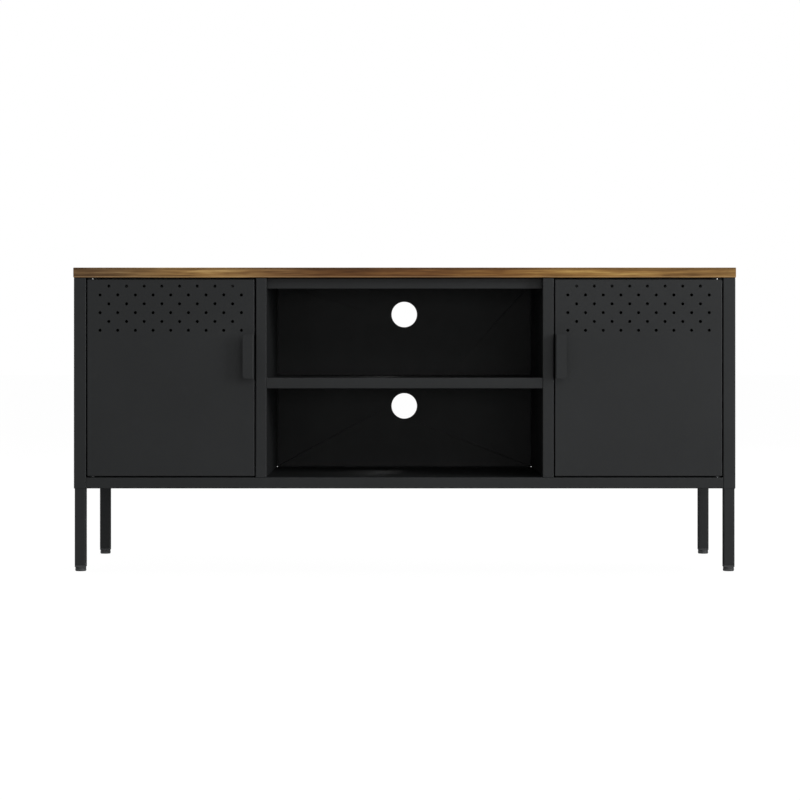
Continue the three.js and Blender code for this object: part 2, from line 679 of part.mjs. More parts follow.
for (const [row, y] of Object.entries(LEG_ROWS)) {
  placePair('leg_' + row, 'paint', leg(LEG_X, y));
  placePair('leg_bolt_' + row, 'zinc', legBolt(LEG_X, y));
  placePair('foot_plug_' + row, 'plug', footPlug(LEG_X, y));
  placePair('foot_pad_' + row, 'plug', footPad(LEG_X, y));
  placePair('foot_stud_' + row, 'zinc', footStud(LEG_X, y));
}

for (const [row, y] of Object.entries(TOP_SCREW_ROWS)) {
  placePair('top_screw_' + row, 'zinc', topScrew(TOP_SCREW_X, y));
}

export default cabinet;
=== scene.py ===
"""Looks for a low steel media cabinet: a wood top, an open bay, two perforated doors, four square legs.

Metres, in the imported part's own frame: +X to the right, +Y to the back, +Z up, floor at Z = 0.
"""

import json
import math

import bmesh
import bpy
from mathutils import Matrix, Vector
from mathutils.bvhtree import BVHTree


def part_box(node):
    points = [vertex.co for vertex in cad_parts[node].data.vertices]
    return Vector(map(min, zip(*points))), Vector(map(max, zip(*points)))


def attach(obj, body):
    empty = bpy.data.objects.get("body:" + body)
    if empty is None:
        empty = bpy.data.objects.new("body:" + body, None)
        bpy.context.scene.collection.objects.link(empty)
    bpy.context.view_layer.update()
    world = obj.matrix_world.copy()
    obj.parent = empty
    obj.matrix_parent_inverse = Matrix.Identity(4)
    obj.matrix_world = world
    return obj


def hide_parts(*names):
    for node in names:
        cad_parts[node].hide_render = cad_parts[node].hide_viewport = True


MM = 0.001
SCENE = bpy.context.scene

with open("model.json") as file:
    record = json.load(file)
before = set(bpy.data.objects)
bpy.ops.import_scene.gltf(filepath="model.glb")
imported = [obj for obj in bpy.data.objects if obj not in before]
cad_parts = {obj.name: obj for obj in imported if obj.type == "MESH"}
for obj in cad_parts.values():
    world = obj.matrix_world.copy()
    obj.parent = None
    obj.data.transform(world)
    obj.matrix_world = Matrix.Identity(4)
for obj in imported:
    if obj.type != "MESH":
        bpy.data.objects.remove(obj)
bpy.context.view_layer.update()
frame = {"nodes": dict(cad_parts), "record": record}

BODY_OF = {
    node: body
    for body, nodes in frame["record"]["behaviour"]["bodies"].items()
    for node in nodes
}
SLOT_OF = {part["node"]: part["material_slot"] for part in frame["record"]["subparts"]}
SIDES = {"left": -1, "right": 1}
ROWS = ("front", "back")


# ---------------------------------------------------------------- node helpers


def add_node(tree, kind, inputs=None, **settings):
    """A node with its settings and inputs. An input's value is a number, a colour or another socket."""
    made = tree.nodes.new("ShaderNode" + kind)
    for name, value in settings.items():
        setattr(made, name, value)
    for name, value in (inputs or {}).items():
        if isinstance(value, bpy.types.NodeSocket):
            tree.links.new(value, made.inputs[name])
        else:
            made.inputs[name].default_value = value
    return made


def new_material(name, **fixed):
    """A material with one Principled shader, whose uniform values are set on its own sockets."""
    material = bpy.data.materials.new(name)
    material.use_nodes = True
    tree = material.node_tree
    tree.nodes.clear()
    shader = add_node(tree, "BsdfPrincipled")
    for socket, value in fixed.items():
        shader.inputs[socket.replace("_", " ")].default_value = value
    output = add_node(tree, "OutputMaterial")
    tree.links.new(shader.outputs["BSDF"], output.inputs["Surface"])
    return material, tree, shader


def object_coordinates(tree, scale=(1, 1, 1), offset=(0, 0, 0)):
    """Object coordinates in metres, stretched by scale."""
    source = add_node(tree, "TexCoord").outputs["Object"]
    mapping = add_node(tree, "Mapping", {"Vector": source, "Scale": scale, "Location": offset})
    return mapping.outputs["Vector"]


def noise(tree, vector, scale, detail=3.0, roughness=0.55, distortion=0.0):
    made = add_node(
        tree,
        "TexNoise",
        {
            "Vector": vector,
            "Scale": scale,
            "Detail": detail,
            "Roughness": roughness,
            "Distortion": distortion,
        },
    )
    return made.outputs["Fac"]


def ranged(tree, value, low, high, to_low, to_high, smooth=False):
    """value, carried from low..high to to_low..to_high and kept inside it."""
    made = add_node(
        tree,
        "MapRange",
        {"Value": value, "From Min": low, "From Max": high, "To Min": to_low, "To Max": to_high},
        interpolation_type="SMOOTHSTEP" if smooth else "LINEAR",
    )
    return made.outputs["Result"]


def maths(tree, operation, first, second=0.0):
    made = add_node(tree, "Math", {0: first, 1: second}, operation=operation)
    return made.outputs["Value"]


def mixed(tree, factor, first, second, blend="MIX"):
    """A mix of two colours."""
    made = add_node(tree, "Mix", data_type="RGBA", blend_type=blend)
    for socket, value in ((0, factor), (6, first), (7, second)):
        if isinstance(value, bpy.types.NodeSocket):
            tree.links.new(value, made.inputs[socket])
        else:
            made.inputs[socket].default_value = value
    return made.outputs[2]


def ramp(tree, factor, stops, interpolation="LINEAR"):
    """A colour ramp through stops, each (place, colour)."""
    made = add_node(tree, "ValToRGB", {"Fac": factor})
    made.color_ramp.interpolation = interpolation
    elements = made.color_ramp.elements
    while len(elements) < len(stops):
        elements.new(0.5)
    for element, (place, colour) in zip(elements, stops):
        element.position = place
        element.color = (*colour, 1)
    return made.outputs["Color"]


def bump(tree, height, strength, distance, normal=None):
    inputs = {"Height": height, "Strength": strength, "Distance": distance}
    if normal is not None:
        inputs["Normal"] = normal
    return add_node(tree, "Bump", inputs).outputs["Normal"]


# ---------------------------------------------------------------- materials


def powder_coat():
    """Matte anthracite powder coat: a fine sandy skin over a slight orange peel."""
    material, tree, shader = new_material("powder_coat", Specular_IOR_Level=0.38)
    place = object_coordinates(tree)
    skin = noise(tree, place, 1500, 2, 0.6)
    peel = noise(tree, place, 230, 2, 0.5)
    patches = noise(tree, place, 6, 3, 0.6)
    rubbed = noise(tree, place, 38, 5, 0.65)
    cloudy = ranged(tree, patches, 0.3, 0.7, 0.0, 0.5)
    sandy = ranged(tree, skin, 0.3, 0.7, 0.0, 0.5)
    tone = maths(tree, "ADD", cloudy, sandy)
    colour = mixed(tree, tone, (0.0180, 0.0194, 0.0203, 1), (0.0232, 0.0250, 0.0261, 1))
    dust = ranged(tree, rubbed, 0.58, 0.80, 0.0, 0.16)
    colour = mixed(tree, dust, colour, (0.044, 0.046, 0.047, 1))
    fine = ranged(tree, skin, 0.3, 0.7, 0.46, 0.54)
    broad = ranged(tree, rubbed, 0.4, 0.7, 0.0, 0.05)
    gloss = maths(tree, "ADD", fine, broad)
    normal = bump(tree, peel, 0.10, 0.0004)
    normal = bump(tree, skin, 0.16, 0.0002, normal)
    tree.links.new(colour, shader.inputs["Base Color"])
    tree.links.new(gloss, shader.inputs["Roughness"])
    tree.links.new(normal, shader.inputs["Normal"])
    return material


def board_tone(tree, place):
    """The slow change of tone along the board: two light stretches and a dark, redder one between them.
    It is strongest at the front edge and evens out behind it."""
    low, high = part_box("wood_top")
    along = add_node(tree, "SeparateXYZ", {"Vector": place})
    from_front = maths(tree, "SUBTRACT", along.outputs["Y"], low.y)
    wander = maths(tree, "SUBTRACT", noise(tree, place, 5, 2, 0.5), 0.5)
    slant = maths(tree, "MULTIPLY", maths(tree, "MULTIPLY", wander, from_front), 3.2)
    where = ranged(tree, maths(tree, "ADD", along.outputs["X"], slant), low.x, high.x, 0.0, 1.0)
    stops = [
        (0.03, (0.80, 0.92, 1.22)),
        (0.20, (1.48, 1.68, 1.76)),
        (0.31, (0.80, 0.78, 0.80)),
        (0.40, (0.60, 0.50, 0.41)),
        (0.52, (0.65, 0.53, 0.40)),
        (0.64, (0.83, 0.73, 0.51)),
        (0.78, (1.36, 1.46, 1.22)),
        (0.96, (1.22, 1.34, 1.26)),
    ]
    fade = ranged(tree, from_front, 15 * MM, 150 * MM, 1.0, 0.22, True)
    return mixed(tree, fade, (0.92, 0.90, 0.80, 1), ramp(tree, where, stops, "EASE"))


def rustic_oak():
    """Brown oak laminate with its grain along X: growth rings, fibres, pores and a few knots."""
    material, tree, shader = new_material("rustic_oak", Specular_IOR_Level=0.22)
    place = object_coordinates(tree)
    flow = object_coordinates(tree, (0.16, 1, 1))
    wander = noise(tree, flow, 16, 4, 0.55)

    knot_place = object_coordinates(tree, (0.42, 1, 1), (0.31, 0.07, 0.0))
    knots = add_node(tree, "TexVoronoi", {"Vector": knot_place, "Scale": 5.2, "Randomness": 1.0})
    knot_distance = knots.outputs["Distance"]
    around_knot = ranged(tree, knot_distance, 0.02, 0.26, 1.0, 0.0, True)
    knot_heart = ranged(tree, knot_distance, 0.015, 0.055, 1.0, 0.0, True)

    across = add_node(tree, "SeparateXYZ", {"Vector": place})
    ring_phase = maths(tree, "ADD", across.outputs["Y"], maths(tree, "MULTIPLY", across.outputs["Z"], 1.7))
    ring_phase = maths(tree, "MULTIPLY", ring_phase, 330)
    ring_phase = maths(tree, "ADD", ring_phase, maths(tree, "MULTIPLY", wander, 34))
    ring_phase = maths(tree, "ADD", ring_phase, maths(tree, "MULTIPLY", around_knot, 15))
    rings = ranged(tree, maths(tree, "SINE", ring_phase), -1.0, 1.0, 0.0, 1.0)

    fibres = noise(tree, object_coordinates(tree, (0.022, 1, 1)), 620, 6, 0.7)
    streaks = noise(tree, object_coordinates(tree, (0.034, 1, 1)), 260, 4, 0.65, 0.3)
    flames = noise(tree, object_coordinates(tree, (0.13, 1, 1), (1.7, 0, 0)), 60, 3, 0.6, 0.4)
    pores = noise(tree, object_coordinates(tree, (0.02, 1, 1)), 1500, 2, 0.5)

    grain = maths(tree, "MULTIPLY", rings, 0.16)
    grain = maths(tree, "ADD", grain, ranged(tree, fibres, 0.3, 0.7, 0.0, 0.32))
    grain = maths(tree, "ADD", grain, ranged(tree, streaks, 0.3, 0.7, 0.0, 0.34))
    grain = maths(tree, "ADD", grain, ranged(tree, flames, 0.34, 0.66, 0.0, 0.26))
    stops = [
        (0.16, (0.073, 0.030, 0.0075)),
        (0.40, (0.150, 0.069, 0.0190)),
        (0.62, (0.242, 0.120, 0.0370)),
        (0.94, (0.392, 0.231, 0.0860)),
    ]
    colour = ramp(tree, grain, stops)
    colour = mixed(tree, 1.0, colour, board_tone(tree, place), "MULTIPLY")
    colour = mixed(tree, ranged(tree, pores, 0.58, 0.72, 0.0, 0.60), colour, (0.049, 0.020, 0.006, 1))
    colour = mixed(tree, maths(tree, "MULTIPLY", around_knot, 0.34), colour, (0.070, 0.028, 0.008, 1))
    colour = mixed(tree, maths(tree, "MULTIPLY", knot_heart, 0.80), colour, (0.022, 0.010, 0.004, 1))

    # The edges of the board: painted shade as a darker band and a dark line at the top, and a painted
    # highlight as a light line at the bottom, where the rounded edge would catch the white floor.
    level = across.outputs["Z"]
    underside, top = (corner.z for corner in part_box("wood_top"))
    bottom_highlight = ranged(tree, level, underside + 1.4 * MM, underside + 3.0 * MM, 1.0, 0.0, True)
    top_shade_line = ranged(tree, level, top - 2.2 * MM, top - 0.4 * MM, 0.0, 1.0, True)
    top_shade_band = ranged(tree, level, top - 4.6 * MM, top - 3.2 * MM, 0.0, 1.0, True)
    facing = add_node(tree, "SeparateXYZ", {"Vector": add_node(tree, "NewGeometry").outputs["Normal"]})
    upright = ranged(tree, maths(tree, "ABSOLUTE", facing.outputs["Z"]), 0.25, 0.75, 1.0, 0.0)
    bottom_highlight = maths(tree, "MULTIPLY", maths(tree, "MULTIPLY", bottom_highlight, upright), 0.40)
    top_shade_line = maths(tree, "MULTIPLY", maths(tree, "MULTIPLY", top_shade_line, upright), 0.50)
    top_shade_band = maths(tree, "MULTIPLY", maths(tree, "MULTIPLY", top_shade_band, upright), 0.42)
    # Painted light: the light line at the bottom is a painted highlight, and the dark band and line at the
    # top are painted shade.
    colour = mixed(tree, bottom_highlight, colour, (0.446, 0.286, 0.144, 1))
    colour = mixed(tree, top_shade_band, colour, (0.060, 0.032, 0.014, 1))
    colour = mixed(tree, top_shade_line, colour, (0.045, 0.026, 0.014, 1))

    gloss = maths(tree, "SUBTRACT", 0.62, ranged(tree, fibres, 0.3, 0.7, 0.0, 0.14))
    normal = bump(tree, fibres, 0.22, 0.0003)
    pits = maths(tree, "SUBTRACT", 1.0, ranged(tree, pores, 0.58, 0.72, 0.0, 1.0))
    normal = bump(tree, pits, 0.35, 0.0002, normal)
    tree.links.new(colour, shader.inputs["Base Color"])
    tree.links.new(gloss, shader.inputs["Roughness"])
    tree.links.new(normal, shader.inputs["Normal"])
    return material


def zinc_plate():
    """Bright zinc on small turned parts: faint rings of the lathe and a blue-yellow cast."""
    material, tree, shader = new_material("zinc_plate", Metallic=1.0)
    place = object_coordinates(tree)
    clouds = noise(tree, place, 300, 4, 0.6)
    turned = noise(tree, object_coordinates(tree, (0.1, 0.1, 1)), 4200, 2, 0.5)
    cast = ranged(tree, clouds, 0.3, 0.7, 0.0, 1.0)
    colour = mixed(tree, cast, (0.56, 0.58, 0.62, 1), (0.66, 0.64, 0.58, 1))
    gloss = ranged(tree, clouds, 0.3, 0.7, 0.24, 0.40)
    tree.links.new(colour, shader.inputs["Base Color"])
    tree.links.new(gloss, shader.inputs["Roughness"])
    tree.links.new(bump(tree, turned, 0.12, 0.0001), shader.inputs["Normal"])
    return material


def moulded(name, dark, light, roughness, grain_scale):
    """Moulded plastic with a fine sparked skin."""
    material, tree, shader = new_material(name, Specular_IOR_Level=0.4)
    place = object_coordinates(tree)
    skin = noise(tree, place, grain_scale, 3, 0.6)
    clouds = noise(tree, place, 90, 3, 0.6)
    colour = mixed(tree, ranged(tree, clouds, 0.3, 0.7, 0.0, 1.0), (*dark, 1), (*light, 1))
    gloss = ranged(tree, skin, 0.3, 0.7, roughness - 0.06, roughness + 0.08)
    tree.links.new(colour, shader.inputs["Base Color"])
    tree.links.new(gloss, shader.inputs["Roughness"])
    tree.links.new(bump(tree, skin, 0.2, 0.0001), shader.inputs["Normal"])
    return material


PAINT = powder_coat()
OAK = rustic_oak()
ZINC = zinc_plate()
NYLON = moulded("black_nylon", (0.010, 0.010, 0.011), (0.016, 0.016, 0.017), 0.45, 1800)
FOOT = moulded("foot_plastic", (0.050, 0.052, 0.054), (0.068, 0.070, 0.072), 0.48, 1500)
# The sole's near-black is painted shade: it stands in for the contact shadow where a pad meets the floor.
SOLE_SHADE = moulded("foot_sole_shade", (0.010, 0.010, 0.010), (0.020, 0.020, 0.020), 0.8, 1200)
RUBBER = moulded("black_rubber", (0.003, 0.003, 0.003), (0.006, 0.006, 0.006), 0.85, 1400)
BLACK_SCREW = moulded("black_screw", (0.012, 0.012, 0.013), (0.022, 0.022, 0.023), 0.35, 2200)

FINISH = {
    "painted_steel": PAINT,
    "wood_laminate": OAK,
    "zinc_plated_steel": ZINC,
    "nylon": NYLON,
    "foot_plastic": FOOT,
}


# ---------------------------------------------------------------- mesh helpers


def new_object(name, bm):
    mesh = bpy.data.meshes.new(name)
    bm.to_mesh(mesh)
    bm.free()
    made = bpy.data.objects.new(name, mesh)
    SCENE.collection.objects.link(made)
    return made


def apply_modifiers(obj):
    """Turns obj's modifiers into mesh."""
    graph = bpy.context.evaluated_depsgraph_get()
    mesh = bpy.data.meshes.new_from_object(obj.evaluated_get(graph))
    obj.modifiers.clear()
    old = obj.data
    obj.data = mesh
    bpy.data.meshes.remove(old)


def finish_piece(obj, nodes=(), body="root", slot="painted_steel", materials=(), sharp=38):
    """Shades obj, gives it its finish and lets it ride with its body in place of its CAD nodes."""
    if nodes:
        body = BODY_OF[nodes[0]]
        slot = SLOT_OF[nodes[0]]
        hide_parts(*nodes)
    mesh = obj.data
    if not mesh.materials:
        for material in materials or (FINISH[slot],):
            mesh.materials.append(material)
    mesh.polygons.foreach_set("use_smooth", [True] * len(mesh.polygons))
    mesh.set_sharp_from_angle(angle=math.radians(sharp))
    weighted = obj.modifiers.new("weighted_normals", "WEIGHTED_NORMAL")
    weighted.keep_sharp = True
    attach(obj, body)
    return obj


def weigh_edges(bm, outer, inner, rim):
    """Gives each hard edge of a sheet-metal mesh its bevel: outer on the outside of a fold, inner in its
    crook, rim along the cut edges. On the outside of a fold both faces go on for more than the sheet."""
    probe = 1.7 * MM
    lift = 0.05 * MM
    tree = BVHTree.FromBMesh(bm)
    weight = bm.edges.layers.float.new("bevel_weight_edge")
    for edge in bm.edges:
        if len(edge.link_faces) != 2:
            continue
        faces = edge.link_faces
        if min(face.normal.length for face in faces) < 0.5:
            continue
        if faces[0].normal.angle(faces[1].normal) < math.radians(55):
            continue
        middle = (edge.verts[0].co + edge.verts[1].co) / 2
        convex = edge.is_convex
        goes_on = True
        for face, other in (faces, reversed(faces)):
            away = -other.normal if convex else other.normal
            away = (away - face.normal * away.dot(face.normal)).normalized()
            start = middle + away * probe + face.normal * lift
            goes_on = goes_on and tree.ray_cast(start, -face.normal, 2 * lift)[0] is not None
        if not convex:
            edge[weight] = inner / outer
        elif goes_on:
            edge[weight] = 1.0
        else:
            edge[weight] = rim / outer


def bevel_by_weight(obj, width, segments=4):
    modifier = obj.modifiers.new("folds", "BEVEL")
    modifier.limit_method = "WEIGHT"
    modifier.width = width
    modifier.segments = segments
    modifier.use_clamp_overlap = False
    modifier.loop_slide = False
    apply_modifiers(obj)


def cad_mesh(node):
    """A copy of a CAD node's mesh with its shared points joined and its flat faces whole."""
    bm = bmesh.new()
    bm.from_mesh(frame["nodes"][node].data)
    for layer in list(bm.loops.layers.uv):
        bm.loops.layers.uv.remove(layer)
    bmesh.ops.remove_doubles(bm, verts=bm.verts, dist=0.005 * MM)
    bmesh.ops.dissolve_degenerate(bm, dist=0.002 * MM, edges=bm.edges)
    bmesh.ops.dissolve_limit(bm, angle_limit=math.radians(0.5), verts=bm.verts, edges=bm.edges)
    return bm


def folded_sheet(node, outer=1.5, inner=0.5, rim=0.15):
    """A CAD sheet with real fold radii, in millimetres."""
    bm = cad_mesh(node)
    weigh_edges(bm, outer * MM, inner * MM, rim * MM)
    obj = new_object(node + "_fine", bm)
    bevel_by_weight(obj, outer * MM)
    return finish_piece(obj, [node])


def softened(points, radius, steps=4):
    """The same open line with its inner corners rounded, radius at most half of each side."""
    out = [points[0]]
    for before, corner, after in zip(points, points[1:], points[2:]):
        corner = Vector(corner)
        into, onward = Vector(before) - corner, Vector(after) - corner
        cut = min(radius, into.length * 0.45, onward.length * 0.45)
        first, last = corner + into.normalized() * cut, corner + onward.normalized() * cut
        for step in range(steps + 1):
            t = step / steps
            out.append(tuple(first * (1 - t) ** 2 + corner * (2 * t * (1 - t)) + last * t**2))
    out.append(points[-1])
    return out


def loft(rings, close=False):
    """A closed skin through rings of equal length. The two ends are capped, or joined with close."""
    bm = bmesh.new()
    made = [[bm.verts.new(point) for point in ring] for ring in rings]
    count = len(made[0])
    pairs = list(zip(made, made[1:]))
    if close:
        pairs.append((made[-1], made[0]))
    for low, high in pairs:
        for i in range(count):
            j = (i + 1) % count
            bm.faces.new((low[i], low[j], high[j], high[i]))
    if not close:
        bm.faces.new(list(reversed(made[0])))
        bm.faces.new(made[-1])
    bmesh.ops.recalc_face_normals(bm, faces=bm.faces)
    return bm


def turned(profile, axis, centre, sides=48):
    """A turned piece: profile is (radius, place along axis), in millimetres and from end to end."""
    rings = []
    for radius, along in profile:
        ring = []
        for i in range(sides):
            angle = 2 * math.pi * i / sides
            flat = (max(radius, 0.02) * math.cos(angle), max(radius, 0.02) * math.sin(angle))
            point = {"X": (along, *flat), "Y": (flat[1], along, flat[0]), "Z": (*flat, along)}[axis]
            ring.append((Vector(point) + Vector(centre)) * MM)
        rings.append(ring)
    return loft(rings)


def box_mesh(low, high):
    """A box between two corners, in millimetres."""
    bm = bmesh.new()
    bmesh.ops.create_cube(bm, size=1)
    low, high = Vector(low), Vector(high)
    for vert in bm.verts:
        vert.co = [(low[k] + (vert.co[k] + 0.5) * (high[k] - low[k])) * MM for k in range(3)]
    return bm


def merge(meshes):
    """Several closed meshes as one."""
    bm = bmesh.new()
    for other in meshes:
        mesh = bpy.data.meshes.new("part")
        other.to_mesh(mesh)
        other.free()
        bm.from_mesh(mesh)
        bpy.data.meshes.remove(mesh)
    return bm


def cut_away(obj, bm):
    """Takes the closed pieces in bm out of obj."""
    cutter = new_object("cutter", bm)
    modifier = obj.modifiers.new("cut", "BOOLEAN")
    modifier.operation = "DIFFERENCE"
    modifier.solver = "EXACT"
    modifier.object = cutter
    apply_modifiers(obj)
    bpy.data.objects.remove(cutter)


# ---------------------------------------------------------------- sheet-metal body

for name in ("top_panel", "bottom_panel", "centre_shelf", "back_panel_centre"):
    folded_sheet(name)
for side in SIDES:
    for name in ("side_panel", "divider", "back_panel", "cupboard_shelf"):
        folded_sheet(f"{name}_{side}")


# ---------------------------------------------------------------- wood top

BOARD_EDGE = 1.2
# Sizes of the dark strip in the seam above each front post, which is painted shade.
SHADE_STRIP_INSET = 0.3
SHADE_STRIP_PLAY = 0.15
SHADE_STRIP_DEPTH = 19.5

def wood_top():
    low, high = (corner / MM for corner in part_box("wood_top"))
    bm = box_mesh(low, high)
    weight = bm.edges.layers.float.new("bevel_weight_edge")
    for edge in bm.edges:
        edge[weight] = 1.0
    obj = new_object("wood_top_fine", bm)
    bevel_by_weight(obj, BOARD_EDGE * MM)
    finish_piece(obj, ["wood_top"])


wood_top()


def seam_shade_strip(side):
    """A thin dark strip in the seam between a front post's top and the wood: painted shade, a dark piece
    standing in for the shadow in that gap.
    """
    post_low, post_high = (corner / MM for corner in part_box("side_panel_" + side))
    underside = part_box("wood_top")[0].z / MM
    outer = post_high.x if SIDES[side] > 0 else post_low.x
    inner = post_low.x if SIDES[side] > 0 else post_high.x
    ends = sorted((outer - SIDES[side] * SHADE_STRIP_INSET, inner + SIDES[side] * 2 * SHADE_STRIP_INSET))
    bm = box_mesh(
        (ends[0], post_low.y + SHADE_STRIP_INSET, post_high.z + SHADE_STRIP_PLAY),
        (ends[1], post_low.y + SHADE_STRIP_DEPTH, underside - SHADE_STRIP_PLAY),
    )
    weight = bm.edges.layers.float.new("bevel_weight_edge")
    for edge in bm.edges:
        edge[weight] = 1.0
    obj = new_object("seam_shade_strip_" + side, bm)
    bevel_by_weight(obj, 0.12 * MM, 2)
    # The strip's black nylon finish is painted shade in the seam.
    finish_piece(obj, slot="nylon")


for side in SIDES:
    seam_shade_strip(side)


# ---------------------------------------------------------------- doors

SHEET = 1.0
HOLE_RADIUS = 2.72
HOLE_EDGE = 0.15
HOLE_PITCH = 32
HOLE_ROW_PITCH = 16
HOLE_ROWS = 6
HOLE_TOP_MARGIN = 12.2
HOLES_IN_ODD_ROW = 8
HOLE_SIDES = 28
PIN_HOLE_RADIUS = 2.3
NOTCH_PLAY = 0.3
HANDLE_HEIGHTS = (349, 429)
HANDLE_THICKNESS = 1.5
HANDLE_BEND = 2.5
HANDLE_RIM = 0.3
LIP_LENGTH = 20.0
LIP_CORNER = 6.0
LIP_STEPS = 14
GRIP_LENGTH = 18.0
GRIP_CORNER = 2.0
BEND_STEPS = 8
HANDLE_LEVELS = 10


def tray(low, high):
    """A shallow tray, open towards +Y, in millimetres."""
    bm = bmesh.new()

    def ring(inset, y):
        x0, x1, z0, z1 = low[0] + inset, high[0] - inset, low[2] + inset, high[2] - inset
        return [bm.verts.new(Vector((x, y, z)) * MM) for x, z in ((x0, z0), (x1, z0), (x1, z1), (x0, z1))]

    rings = [ring(0, low[1]), ring(0, high[1]), ring(SHEET, high[1]), ring(SHEET, low[1] + SHEET)]
    for near, far in zip(rings, rings[1:]):
        for i in range(4):
            j = (i + 1) % 4
            bm.faces.new((near[i], near[j], far[j], far[i]))
    bm.faces.new(rings[0])
    bm.faces.new(rings[-1])
    bmesh.ops.recalc_face_normals(bm, faces=bm.faces)
    return bm


def door(side):
    node = "door_" + side
    low, high = (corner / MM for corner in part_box(node))
    front = low.y
    bm = tray(low, high)
    weigh_edges(bm, 1.5 * MM, 0.5 * MM, 0.15 * MM)
    obj = new_object(node + "_fine", bm)
    bevel_by_weight(obj, 1.5 * MM, 5)

    centre = (low.x + high.x) / 2
    cutters = []
    rim = [
        (HOLE_EDGE, -0.6),
        (HOLE_EDGE, 0),
        (HOLE_EDGE * 0.3, HOLE_EDGE * 0.3),
        (0, HOLE_EDGE),
        (0, SHEET + 0.5),
    ]
    profile = [(HOLE_RADIUS + wider, front + depth) for wider, depth in rim]
    for row in range(HOLE_ROWS):
        count = HOLES_IN_ODD_ROW + row % 2
        z = high.z - HOLE_TOP_MARGIN - row * HOLE_ROW_PITCH
        for place in range(count):
            x = centre + (place - (count - 1) / 2) * HOLE_PITCH
            cutters.append(turned(profile, "Y", (x, 0, z), HOLE_SIDES))
    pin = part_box("hinge_pin_top_" + side)
    pin_x, pin_y = ((pin[0][k] + pin[1][k]) / 2 / MM for k in range(2))
    bore = [(PIN_HOLE_RADIUS, low.z - 1), (PIN_HOLE_RADIUS, high.z + 1)]
    cutters.append(turned(bore, "Z", (pin_x, pin_y, 0), 32))
    free = low.x if SIDES[side] > 0 else high.x
    notch = sorted((free - SIDES[side], free + SIDES[side] * (HANDLE_THICKNESS + NOTCH_PLAY)))
    bottom = (notch[0], low.y - 1, HANDLE_HEIGHTS[0] - NOTCH_PLAY)
    top = (notch[1], high.y + 1, HANDLE_HEIGHTS[1] + NOTCH_PLAY)
    cutters.append(box_mesh(bottom, top))
    cut_away(obj, merge(cutters))
    finish_piece(obj, [node])


def handle_line(front, back):
    """The outside of the bent strip, from the lip's end to the grip's: (distance, y, normal inwards)."""
    line = []
    for step in range(LIP_STEPS + 1):
        turn = math.pi / 2 * step / LIP_STEPS
        line.append((LIP_LENGTH - LIP_CORNER * (1 - math.cos(turn)), front, (0, 1)))
    line.append(((LIP_LENGTH - LIP_CORNER + HANDLE_BEND) / 2, front, (0, 1)))
    for step in range(BEND_STEPS + 1):
        angle = math.pi / 2 * step / BEND_STEPS
        across, into = math.sin(angle), math.cos(angle)
        line.append((HANDLE_BEND * (1 - across), front + HANDLE_BEND * (1 - into), (across, into)))
    for step in range(BEND_STEPS + 1):
        angle = math.pi / 2 * step / BEND_STEPS
        across, into = math.cos(angle), -math.sin(angle)
        line.append((HANDLE_BEND * (1 - across), back - HANDLE_BEND * (1 + into), (across, into)))
    for rest in (GRIP_CORNER, GRIP_CORNER * 0.3, 0.0):
        line.append((GRIP_LENGTH - rest, back, (0, -1)))
    return line


def corner_cut(distance, corner, end):
    """How far a round corner at the strip's end takes its top and bottom in, at a distance along it."""
    into = max(distance - (end - corner), 0.0)
    return corner - math.sqrt(max(corner**2 - into**2, 0.0))


def handle(side):
    """A strip bent twice: a lip with round corners in front of the door, a web, and a grip behind it."""
    node = "door_handle_" + side
    low, high = (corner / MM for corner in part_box(node))
    way = SIDES[side]
    web = low.x if way > 0 else high.x
    line = handle_line(low.y, high.y)
    bm = bmesh.new()
    outer, inner = [], []
    for number, (distance, y, normal) in enumerate(line):
        on_lip = number <= LIP_STEPS + 1
        corner, end = (LIP_CORNER, LIP_LENGTH) if on_lip else (GRIP_CORNER, GRIP_LENGTH)
        cut = corner_cut(distance, corner, end)
        bottom, top = low.z + cut, high.z - cut
        rows = [[], []]
        for k in range(HANDLE_LEVELS + 1):
            z = bottom + (top - bottom) * k / HANDLE_LEVELS
            for row, depth in zip(rows, (0.0, HANDLE_THICKNESS)):
                x = web + way * (distance + normal[0] * depth)
                row.append(bm.verts.new(Vector((x, y + normal[1] * depth, z)) * MM))
        outer.append(rows[0])
        inner.append(rows[1])
    for near, far in zip(range(len(line)), range(1, len(line))):
        for k in range(HANDLE_LEVELS):
            bm.faces.new((outer[near][k], outer[far][k], outer[far][k + 1], outer[near][k + 1]))
            bm.faces.new((inner[near][k + 1], inner[far][k + 1], inner[far][k], inner[near][k]))
        for k in (0, HANDLE_LEVELS):
            bm.faces.new((outer[near][k], inner[near][k], inner[far][k], outer[far][k]))
    for end in (0, len(line) - 1):
        for k in range(HANDLE_LEVELS):
            bm.faces.new((outer[end][k + 1], inner[end][k + 1], inner[end][k], outer[end][k]))
    bmesh.ops.recalc_face_normals(bm, faces=bm.faces)
    obj = new_object(node + "_fine", bm)
    modifier = obj.modifiers.new("rim", "BEVEL")
    modifier.limit_method = "ANGLE"
    modifier.angle_limit = math.radians(55)
    modifier.width = HANDLE_RIM * MM
    modifier.segments = 3
    modifier.use_clamp_overlap = True
    apply_modifiers(obj)
    finish_piece(obj, [node])


for side in SIDES:
    door(side)
    handle(side)


# ---------------------------------------------------------------- hinges and catches


PIN_RADIUS = 2
PIN_COLLAR_RADIUS = 3.5
PIN_COLLAR_HEIGHT = 4
COLLAR_STARTS = {"hinge_pin_top_": 8, "hinge_pin_bottom_": 12.5}
WASHER_RADIUS = 5
WASHER_SIDES = 48
WASHER_STEP = 0.8
KEEPER_DEPTH = 1.9


def centre_of(node):
    low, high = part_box(node)
    return (low + high) / 2 / MM


